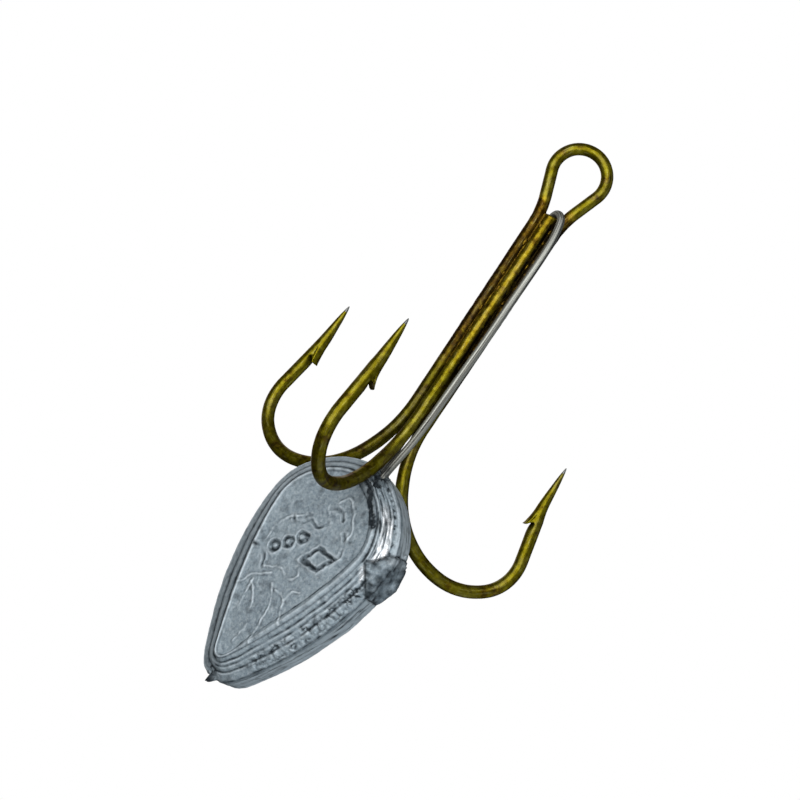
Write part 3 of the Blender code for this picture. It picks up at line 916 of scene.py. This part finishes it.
def sprue_face(r):
    """Broken face of the sprue, painted dark as shade where it faces away from the light and painted
    lighter along its upper edge, with a crack round it in painted shade and the bright facet beside it
    as a painted highlight.
    """
    top_edge = np.interp(r.place, *zip(*SPRUE_TOP_EDGE)) - r.up
    low_edge = r.up - np.interp(r.place, *zip(*SPRUE_LOW_EDGE))
    side = smoothstep(7.0, 7.5, r.across) * smoothstep(0.08, 0.12, r.place)
    side = side * (1 - smoothstep(1.9, 2.1, r.place))
    r.broken = smoothstep(0.0, 0.18, top_edge) * smoothstep(0.0, 0.18, low_edge) * side
    chips = cells_at(r.local, 1.8, 17.0) - 0.5
    chipped = noise_at(r.local, 0.8, 113.0, 3)
    hollows = np.clip(0.44 - 0.6 * chips - 0.5 * chipped, 0, 0.85)
    upper_edge = np.clip(ridge(top_edge - 0.7, 0.45) * smoothstep(0.6, 0.9, r.place), 0, 1)
    r.height += r.broken * (0.28 + 0.42 * chips + 0.10 * chipped)
    r.dark += r.broken * (hollows - r.dark)
    r.light += r.broken * (upper_edge - r.light)
    r.shine *= 1 - r.broken
    top_crack = np.abs(top_edge + 0.06) + 9.0 * (low_edge < -0.2)
    low_crack = np.abs(low_edge + 0.06) + 9.0 * (top_edge < -0.2)
    crack = np.minimum(top_crack, low_crack)
    r.add(height=-0.16 * ridge(crack, 0.13) * side, dark=0.9 * ridge(crack, 0.15) * side)
    facet = smoothstep(-1.3, -0.9, low_edge) * (1 - smoothstep(-0.25, -0.1, low_edge))
    facet = facet * smoothstep(0.10, 0.16, r.place) * (1 - smoothstep(0.40, 0.55, r.place))
    facet = facet * (r.across > 7.0) * (r.up < 0)
    r.shine = np.maximum(r.shine, facet * np.clip(0.75 + r.medium, 0, 1))


def slit_and_entry(r):
    """Slit in the wall, and the hole where the hairpin enters with a pale burr round it; the slit and
    hole are painted dark as shade and the burr gets a painted highlight on its left side.
    """
    slit = ridge(distance_to_line(r.local, np.array(WALL_SLIT)), 0.22)
    r.add(height=-0.35 * slit, dark=1.3 * slit)
    hole = np.linalg.norm(r.local - np.array(ENTRY_HOLE), axis=1) + 0.7 * r.medium
    left_of_hole = smoothstep(0.0, -0.4, r.across - ENTRY_HOLE[0])
    r.add(height=(0.22 * ridge(hole - 0.70, 0.18) - 0.45 * ridge(hole, 0.42)) * (hole < 1.5),
          dark=1.3 * ridge(hole, 0.50),
          light=0.9 * ridge(hole - 0.78, 0.14) * left_of_hole)


def parting_and_wall(r):
    """Parting line in painted shade, the scraped wall behind it painted lighter as a stand-in for light
    it doesn't get, and dirt on the tip and low on the face.
    """
    parting = ridge(r.place + r.wander * 0.6 - 1.03, 0.025)
    r.add(height=-0.10 * parting, dark=0.55 * parting * (0.5 + 0.5 * r.low))
    scrape = r.streaks(9.0, 0.30, 131.0)
    wall = smoothstep(1.06, 1.2, r.place) * (1 - smoothstep(2.0, 2.2, r.place)) * (1 - r.broken)
    # painted light on the wall, which faces away from the lamps; dark scrape streaks
    r.add(height=0.06 * wall * scrape,
          dark=1.2 * wall * np.clip(-scrape - 0.10, 0, 1),
          light=wall * np.clip(1.0 + 0.9 * scrape, 0, 1.25))
    tip = ridge(np.hypot(r.across + 0.3, r.up + 24.2), 1.0) * (r.place < 1.6)
    r.add(height=0.30 * tip * r.medium, dark=tip * np.clip(0.70 + 2.0 * r.medium, 0, 1))
    r.add(dark=0.09 * r.on_face * ridge(np.hypot(r.across + 0.5, 0.6 * (r.up + 14.5)), 3.6))


def casting_skin(r):
    """Rough skin, soil and rubbed spots all over."""
    skin = 0.050 * noise_at(r.local, 4.0, 91.0, 2) + 0.028 * r.coarse + 0.022 * r.medium
    r.add(height=skin + 0.016 * noise_at(r.local, 0.30, 99.0, 2),
          dark=0.55 * np.clip(noise_at(r.local, 1.0, 105.0, 4) - 0.10, 0, 1),
          light=0.45 * np.clip(noise_at(r.local, 0.8, 109.0, 4) - 0.12, 0, 1))


LEAD_FEATURES = (
    rim_and_recess, veins_and_creases, generic_mark, upper_rim, slope_lines, slope_blocks,
    bright_band, sprue_face, slit_and_entry, parting_and_wall, casting_skin,
)


def stand_out(points, outward, dark, shine):
    """The sprue's stump standing out of the wall, and the nub of flash at the tip."""
    for corners, rough, soil in ((SPRUE_CORNERS, 0.16, 0.15), (NUB_CORNERS, 0.30, 0.50)):
        leave = push_out(points, outward, corners)
        moved = smoothstep(0.0, 0.25, leave)
        points += outward * leave[:, None]
        broken = 0.7 * noise_at(points, 1.3, 111.0, 3) + 1.0 * (cells_at(points, 1.6, 9.0) - 0.45)
        points += outward * (moved * broken * rough)[:, None]
        dark += moved * np.clip(soil - broken * 0.5, 0, 0.9)
        shine *= 1 - moved


def shaded_entry(points, outward, dark):
    """Rough hollow round the hairpin's two legs, with painted shade in it."""
    gaps = [np.linalg.norm(points - np.array(entry), axis=1) for entry in HAIRPIN_ENTRIES]
    near = ridge(np.min(gaps, axis=0), 1.6)
    broken = noise_at(points, 0.6, 121.0, 3)
    points += outward * (near * (broken * 0.55 + 0.10))[:, None]
    dark += near * np.clip(1.25 - broken * 1.3, 0, 1.6)


def seat_wires(points, dark, wires):
    """Seats for the hook wires that the casting touches, painted darker as shade under the wires."""
    line = np.concatenate(wires)
    tree = kdtree.KDTree(len(line))
    for index, place_on_line in enumerate(line):
        tree.insert(place_on_line, index)
    tree.balance()
    clear = HOOK_WIRE / 2 * (1 + FORGED_GROWTH) + SEAT_GAP
    for index, point in enumerate(points):
        nearest, _, gap = tree.find(point)
        if gap < clear:
            away = Vector(point) - nearest
            points[index] = np.array(nearest + away.normalized() * clear)
            # painted shade where the wire lies
            dark[index] += 0.5


def lead_weight(material, wires):
    """The casting: plain rings, then the relief, the stumps, the hairpin's entry and the seats."""
    rings, ring_places = lead_rings()
    count, around = rings.shape[:2]
    faces = grid_faces(count, around, False, False)
    local = rings.reshape(-1, 3)
    place = np.repeat(ring_places, around)
    spine = spine_height(local[:, 2])
    rim = rings[LEAD_FACE_RINGS]
    rim_reach = np.tile(np.hypot(rim[:, 0], rim[:, 2] - spine_height(rim[:, 2])), count)
    normals = point_normals(local, faces)
    if normals[np.argmin(np.abs(place + 0.5))][1] > 0:
        normals = -normals
    relief = Relief(local, place, -place * rim_reach * (place < 0))
    for feature in LEAD_FEATURES:
        feature(relief)
    dark = relief.dark
    shine = np.clip(0.85 * relief.shine, 0, 1)
    local = local + normals * relief.height[:, None]
    points = lead_to_frame(local)
    away_from_spine = np.stack([local[:, 0], local[:, 1] * 0.2, local[:, 2] - spine], axis=1)
    outward = lead_to_frame(local + away_from_spine) - points
    outward /= np.linalg.norm(outward, axis=1)[:, None] + 1e-9
    stand_out(points, outward, dark, shine)
    shaded_entry(points, outward, dark)
    seat_wires(points, dark, wires)
    values = {"dark": np.clip(dark, 0, 1), "light": np.clip(relief.light, 0, 1), "shine": shine}
    return make_piece("cast_teardrop", points, faces, material, ["lead_weight"],
                      values, merge=0.002)


# ---------------- materials

class Nodes:
    """Short way to add and join shader nodes of one material."""

    def __init__(self, name):
        self.material = bpy.data.materials.new(name)
        self.material.use_nodes = True
        self.tree = self.material.node_tree
        self.shader = self.tree.nodes["Principled BSDF"]

    def add(self, kind, settings=None, **inputs):
        node = self.tree.nodes.new(kind)
        for key, value in (settings or {}).items():
            setattr(node, key, value)
        for key, value in inputs.items():
            self.put(node.inputs[key.replace("_", " ")], value)
        return node

    def put(self, socket, value):
        if isinstance(value, bpy.types.NodeSocket):
            self.tree.links.new(value, socket)
        else:
            socket.default_value = value

    def value(self, name):
        return self.add("ShaderNodeAttribute", {"attribute_name": name}).outputs["Fac"]

    def vector(self, name):
        return self.add("ShaderNodeAttribute", {"attribute_name": name}).outputs["Vector"]

    def object_mm(self):
        """Object coordinates in millimetres."""
        where = self.add("ShaderNodeTexCoord").outputs["Object"]
        scaled = self.add("ShaderNodeVectorMath", {"operation": "SCALE"}, Scale=1000.0)
        self.put(scaled.inputs[0], where)
        return scaled.outputs[0]

    def noise(self, where, scale, detail=4.0, roughness=0.55, distortion=0.0):
        return self.add("ShaderNodeTexNoise", Vector=where, Scale=scale, Detail=detail,
                        Roughness=roughness, Distortion=distortion).outputs["Fac"]

    def ramp(self, value, stops):
        node = self.add("ShaderNodeValToRGB", Fac=value)
        elements = node.color_ramp.elements
        while len(elements) < len(stops):
            elements.new(1.0)
        for element, (at, colour) in zip(elements, stops):
            element.position = at
            red_green_blue = colour if isinstance(colour, tuple) else (colour, colour, colour)
            element.color = (*red_green_blue, 1.0)
        return node.outputs["Color"]

    def mix(self, share, first, second):
        node = self.add("ShaderNodeMix", {"data_type": "RGBA"})
        self.put(node.inputs["Factor"], share)
        for socket, value in ((node.inputs[6], first), (node.inputs[7], second)):
            self.put(socket, (*value, 1.0) if isinstance(value, tuple) else value)
        return node.outputs[2]

    def calc(self, operation, first, second=0.0, clamp=False):
        node = self.add("ShaderNodeMath", {"operation": operation, "use_clamp": clamp})
        self.put(node.inputs[0], first)
        self.put(node.inputs[1], second)
        return node.outputs[0]

    def times(self, first, second, clamp=False):
        return self.calc("MULTIPLY", first, second, clamp)

    def bump(self, height, strength, distance):
        node = self.add("ShaderNodeBump", Height=height, Strength=strength, Distance=distance)
        return node.outputs["Normal"]

    def finish(self, **inputs):
        """Fill the shader's own sockets and hand over the material."""
        for key, value in inputs.items():
            self.put(self.shader.inputs[key.replace("_", " ")], value)
        return self.material


def bronze_material():
    """Bronzed hook wire under thin lacquer: mottled olive gold, browned by the brazing heat, with
    painted shade in the groove beside the single shank, down the left leg and under the barbs.
    """
    n = Nodes("bronzed_wire")
    where = n.object_mm()
    cloud = n.noise(where, 0.55, 5.0, 0.6, 0.4)
    fine = n.noise(where, 1.3, 5.0, 0.60)
    streaks = n.noise(n.vector("grain"), 4.5, 4.0, 0.6)
    olive = n.ramp(fine, [(0.30, (0.085, 0.066, 0.001)), (0.50, (0.148, 0.124, 0.002)),
                          (0.70, (0.24, 0.210, 0.012))])
    brown = n.ramp(fine, [(0.32, (0.018, 0.008, 0.001)), (0.45, (0.050, 0.025, 0.002)),
                          (0.56, (0.095, 0.052, 0.003)), (0.70, (0.19, 0.130, 0.010))])
    gold = n.ramp(fine, [(0.30, (0.120, 0.074, 0.002)), (0.50, (0.215, 0.150, 0.005)),
                         (0.70, (0.36, 0.275, 0.020))])
    patches = n.ramp(cloud, [(0.52, 0.0), (0.64, 0.80)])
    uneven = n.ramp(n.noise(where, 0.8, 4.0), [(0.32, 0.60), (0.52, 1.0)])
    burnt = n.times(n.value("burnt"), uneven, True)
    colour = n.mix(n.ramp(burnt, [(0.0, 0.0), (0.40, 0.85)]), olive, gold)
    browned = n.ramp(burnt, [(0.45, 0.0), (0.80, 1.0)])
    colour = n.mix(n.calc("MAXIMUM", browned, patches), colour, brown)
    colour = n.mix(n.ramp(streaks, [(0.56, 0.0), (0.70, 0.40)]), colour, (0.40, 0.38, 0.13))
    colour = n.mix(n.ramp(streaks, [(0.30, 0.60), (0.42, 0.0)]), colour, (0.024, 0.018, 0.002))
    # Painted shade, broken up by noise: near black in the groove beside the single shank and down the
    # left leg
    shade_breakup = n.ramp(n.noise(where, 1.1, 5.0), [(0.52, 1.0), (0.64, 0.35)])
    colour = n.mix(n.times(n.value("groove_shade"), shade_breakup, True), colour, (0.012, 0.008, 0.003))
    # Painted shade under the barbs: near black
    colour = n.mix(n.value("cut"), colour, (0.006, 0.004, 0.002))
    worn = n.calc("LESS_THAN", n.calc("ADD", n.value("tip"), n.times(fine, 0.9)), 1.35)
    colour = n.mix(worn, colour, (0.17, 0.175, 0.17))
    lacquer = n.ramp(n.noise(where, 0.35, 4.0, 0.6), [(0.46, 0.04), (0.60, 0.36)])
    unburnt = n.ramp(n.value("burnt"), [(0.0, 1.0), (1.0, 0.25)])
    return n.finish(
        Base_Color=colour,
        Roughness=n.ramp(fine, [(0.3, 0.30), (0.7, 0.43)]),
        Metallic=0.84,
        Specular_IOR_Level=0.15,
        Specular_Tint=(0.40, 0.30, 0.12, 1.0),
        Coat_Weight=n.times(lacquer, unburnt),
        Coat_Roughness=0.20,
        Normal=n.bump(n.noise(where, 4.0, 3.0, 0.6), 0.15, 0.00006),
    )


def braze_material(name, flux_and_shade):
    """Brazing metal: brown and gold lumps, blackened by the given share, which stands for burnt flux and
    painted shade in the groove.
    """
    n = Nodes(name)
    where = n.object_mm()
    fine = n.noise(where, 1.6, 6.0, 0.65)
    colour = n.ramp(fine, [(0.34, (0.020, 0.011, 0.002)), (0.46, (0.12, 0.068, 0.004)),
                           (0.60, (0.22, 0.140, 0.008)), (0.74, (0.42, 0.32, 0.03))])
    # Near black by the given share: burnt flux and painted shade in the groove
    colour = n.mix(flux_and_shade, colour, (0.010, 0.007, 0.003))
    return n.finish(
        Base_Color=colour,
        Roughness=n.ramp(n.noise(where, 3.0), [(0.3, 0.30), (0.7, 0.60)]),
        Metallic=0.9,
        Normal=n.bump(n.noise(where, 3.5, 5.0, 0.7), 0.5, 0.0001),
    )


def hairpin_material():
    """Bright drawn steel wire with fine lengthwise lines, darker where it enters the lead."""
    n = Nodes("drawn_steel")
    where = n.object_mm()
    grain = n.vector("grain")
    lines = n.noise(grain, 1.9, 2.0, 0.6)
    cloud = n.noise(where, 0.5, 4.0)
    colour = n.ramp(lines, [(0.38, (0.030, 0.030, 0.026)), (0.46, (0.20, 0.20, 0.18)),
                            (0.62, (0.40, 0.41, 0.37))])
    colour = n.mix(n.ramp(cloud, [(0.50, 0.0), (0.75, 0.55)]), colour, (0.27, 0.26, 0.22))
    spotty = n.ramp(n.noise(where, 1.6, 4.0), [(0.35, 0.1), (0.6, 0.85)])
    colour = n.mix(n.times(n.value("darkening"), spotty, True), colour, (0.05, 0.055, 0.06))
    return n.finish(
        Base_Color=colour,
        Roughness=n.ramp(lines, [(0.3, 0.52), (0.7, 0.40)]),
        Metallic=0.60,
        Normal=n.bump(lines, 0.30, 0.00008),
    )


def lead_material():
    """Cast lead: dull bluish skin, painted shade with some soil in the hollows and grooves, painted
    highlights on raised edges and the bright band, and pale rubbed spots.
    """
    n = Nodes("cast_lead")
    where = n.object_mm()
    cloud = n.noise(where, 0.30, 5.0, 0.6)
    fine = n.noise(where, 2.2, 8.0, 0.75)
    colour = n.ramp(cloud, [(0.32, (0.185, 0.235, 0.275)), (0.50, (0.285, 0.350, 0.395)),
                            (0.68, (0.37, 0.440, 0.48))])
    speck = n.ramp(fine, [(0.32, (0.055, 0.08, 0.10)), (0.46, (0.24, 0.30, 0.345)),
                          (0.56, (0.34, 0.405, 0.445)), (0.68, (0.60, 0.66, 0.69))])
    colour = n.mix(0.60, colour, speck)
    # Paler where the light values are: painted highlights on raised edges, painted light on the scraped
    # wall, and rubbed spots
    colour = n.mix(n.times(n.value("light"), 0.85, True), colour, (0.63, 0.71, 0.76))
    # Near white where the shine values are: a painted highlight on the bright band and the sprue's facet
    shine = n.value("shine")
    colour = n.mix(n.times(shine, 0.90, True), colour, (0.86, 0.88, 0.90))
    # Near black where the dark values are: mostly painted shade in hollows, grooves, cracks and seats,
    # partly soil
    dark = n.times(n.value("dark"), n.ramp(fine, [(0.25, 1.0), (0.75, 0.88)]), True)
    dull = n.ramp(fine, [(0.3, 0.46), (0.7, 0.58)])
    grey_metal = n.ramp(cloud, [(0.3, 0.38), (0.7, 0.48)])
    pits = n.calc("ADD", n.noise(where, 1.6, 8.0, 0.72), n.times(n.noise(where, 6.0, 3.0), 0.35))
    return n.finish(
        Base_Color=n.mix(dark, colour, (0.010, 0.014, 0.018)),
        Roughness=n.calc("SUBTRACT", dull, n.times(shine, 0.24)),
        Metallic=n.calc("ADD", n.times(shine, 0.45), grey_metal),
        Specular_IOR_Level=n.ramp(dark, [(0.0, 0.5), (0.8, 0.05)]),
        Normal=n.bump(pits, 0.60, 0.0002),
    )


# ---------------- studio

def camera_axes():
    azimuth, elevation, roll = map(math.radians, (CAMERA_AZIMUTH, CAMERA_ELEVATION, CAMERA_ROLL))
    back = Vector((math.sin(azimuth) * math.cos(elevation), -math.cos(azimuth) * math.cos(elevation),
                   math.sin(elevation)))
    level = Vector((math.cos(azimuth), math.sin(azimuth), 0))
    rising = back.cross(level)
    right = level * math.cos(roll) + rising * math.sin(roll)
    return right, back.cross(right), back


def add_camera():
    right, up, back = camera_axes()
    data = bpy.data.cameras.new("camera")
    data.lens = CAMERA_LENS
    data.sensor_width = 36.0
    data.clip_start = 0.01
    camera = bpy.data.objects.new("camera", data)
    bpy.context.scene.collection.objects.link(camera)
    matrix = camera.matrix_world.copy()
    for row in range(3):
        matrix[row][0], matrix[row][1], matrix[row][2] = right[row], up[row], back[row]
    place = (Vector(CAMERA_AIM) + back * CAMERA_DISTANCE) * MM
    matrix.translation = place
    camera.matrix_world = matrix
    bpy.context.scene.camera = camera


def add_softbox(name, way, distance, size, watts, colour):
    """Area light that the camera doesn't see, aimed at the middle of the hook."""
    right, up, back = camera_axes()
    direction = (right * way[0] + up * way[1] + back * way[2]).normalized()
    data = bpy.data.lights.new(name, "AREA")
    data.shape = "RECTANGLE"
    data.size, data.size_y = size
    data.energy = watts
    data.color = colour
    lamp = bpy.data.objects.new(name, data)
    bpy.context.scene.collection.objects.link(lamp)
    aim = Vector(CAMERA_AIM) * MM
    lamp.visible_camera = False
    lamp.location = aim + direction * distance
    lamp.rotation_euler = (-direction).to_track_quat("-Z", "Y").to_euler()


def add_world():
    """Even pale surround: white behind the hook, softer as a source of light."""
    world = bpy.data.worlds.new("studio")
    bpy.context.scene.world = world
    world.use_nodes = True
    tree = world.node_tree
    tree.nodes.clear()
    output = tree.nodes.new("ShaderNodeOutputWorld")
    path = tree.nodes.new("ShaderNodeLightPath")
    mix = tree.nodes.new("ShaderNodeMixShader")
    for socket, colour, strength in ((1, (0.95, 0.97, 1, 1), WORLD_LIGHTING), (2, (1, 1, 1, 1), 1.0)):
        light = tree.nodes.new("ShaderNodeBackground")
        light.inputs["Color"].default_value = colour
        light.inputs["Strength"].default_value = strength
        tree.links.new(light.outputs[0], mix.inputs[socket])
    tree.links.new(path.outputs["Is Camera Ray"], mix.inputs["Fac"])
    tree.links.new(mix.outputs[0], output.inputs["Surface"])


def add_floor():
    """Plain pale round floor, well below the hook, which glows and throws no light on it."""
    edit = bmesh.new()
    bmesh.ops.create_circle(edit, cap_ends=True, segments=96, radius=FLOOR_RADIUS)
    mesh = bpy.data.meshes.new("floor")
    edit.to_mesh(mesh)
    edit.free()
    floor = bpy.data.objects.new("floor", mesh)
    bpy.context.scene.collection.objects.link(floor)
    floor.location = (0, 0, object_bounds()[0][2] - FLOOR_DROP)
    n = Nodes("floor")
    pale = n.ramp(n.noise(n.object_mm(), 0.02), [(0.3, 0.84), (0.7, 0.88)])
    mesh.materials.append(n.finish(
        Base_Color=pale,
        Emission_Color=pale,
        Emission_Strength=0.85,
        Roughness=0.9,
    ))
    floor.visible_diffuse = False
    floor.visible_glossy = False


# ---------------- the scene

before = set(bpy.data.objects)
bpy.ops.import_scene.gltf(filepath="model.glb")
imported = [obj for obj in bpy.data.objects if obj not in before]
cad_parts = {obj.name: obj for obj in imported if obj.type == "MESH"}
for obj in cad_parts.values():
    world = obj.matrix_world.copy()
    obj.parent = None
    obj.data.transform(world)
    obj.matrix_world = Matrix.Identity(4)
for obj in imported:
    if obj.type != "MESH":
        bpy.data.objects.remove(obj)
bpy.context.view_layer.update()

bpy.context.scene.view_settings.view_transform = "Standard"
add_camera()
add_world()
add_floor()
for light in LIGHTS:
    add_softbox(*light)

bronze = bronze_material()
double_route = double_hook_route()
single_route = single_hook_route()
hook_wire("bronze_double_hook", double_route, HOOK_LEFT, HOOK_RIGHT, bronze, ["double_hook_wire"])
hook_wire("bronze_single_hook", single_route, None, HOOK_FRONT, bronze, ["single_hook_wire"])
braze = braze_material("brazing_metal", 0.0)
# The right bead's near black colour is burnt flux and painted shade in the groove beside the single
# shank
blackened_bead = braze_material("flux_and_groove_shade", 0.85)
braze_bead("braze_bead_left", -1, braze, "braze_fillet_left", 0.90, 2.0)
braze_bead("braze_bead_right", 1, blackened_bead, "braze_fillet_right", 0.34, 6.0)
braze_spatter(braze)
hairpin(hairpin_material())
lead_weight(lead_material(), [double_route, single_route])
